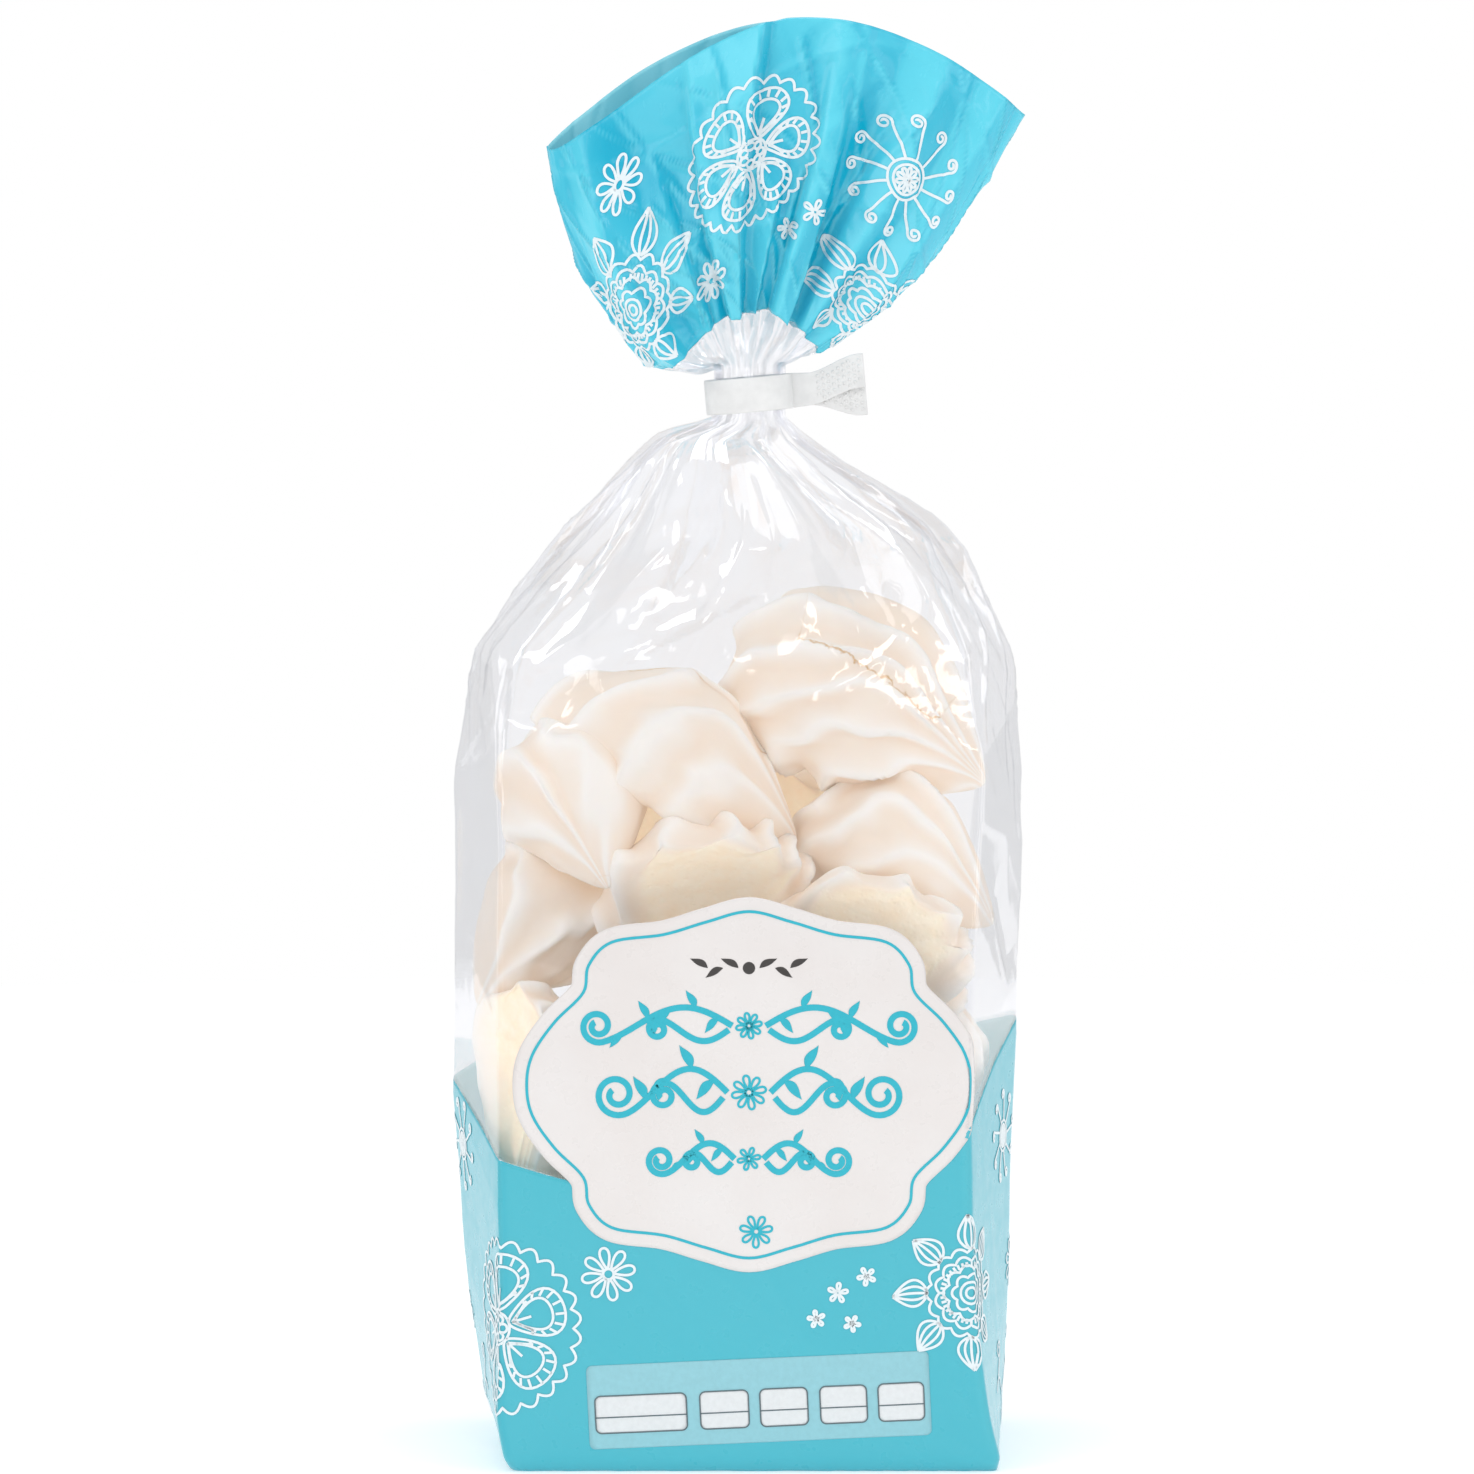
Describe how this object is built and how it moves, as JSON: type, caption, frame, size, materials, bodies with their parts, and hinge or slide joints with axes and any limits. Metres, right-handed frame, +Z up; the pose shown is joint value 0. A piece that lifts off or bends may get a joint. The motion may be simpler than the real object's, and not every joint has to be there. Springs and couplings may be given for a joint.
{
  "type": "bag of meringue cookies",
  "caption": "Clear block-bottomed bag filled with piped meringue shells, gathered at the neck by a clip band, with a printed fan above it.",
  "frame": {"origin": "middle of the bag's flat bottom", "axes": "+Z up along the standing bag, -Y towards the printed front, +X to the right seen from the front"},
  "size_m": [0.1211, 0.0824, 0.3049],
  "materials": {
    "film_clear": "thin clear glossy film, crinkled",
    "film_print": "glossy film printed turquoise with white line ornament",
    "label_print": "glossy film printed white",
    "meringue": "dry matt sugar crust, cream white, beige and porous underneath",
    "clip_plastic": "satin white plastic"
  },
  "bodies": {
    "root": {"bag": "film_clear", "clip": "clip_plastic"}
  },
  "joints": []
}
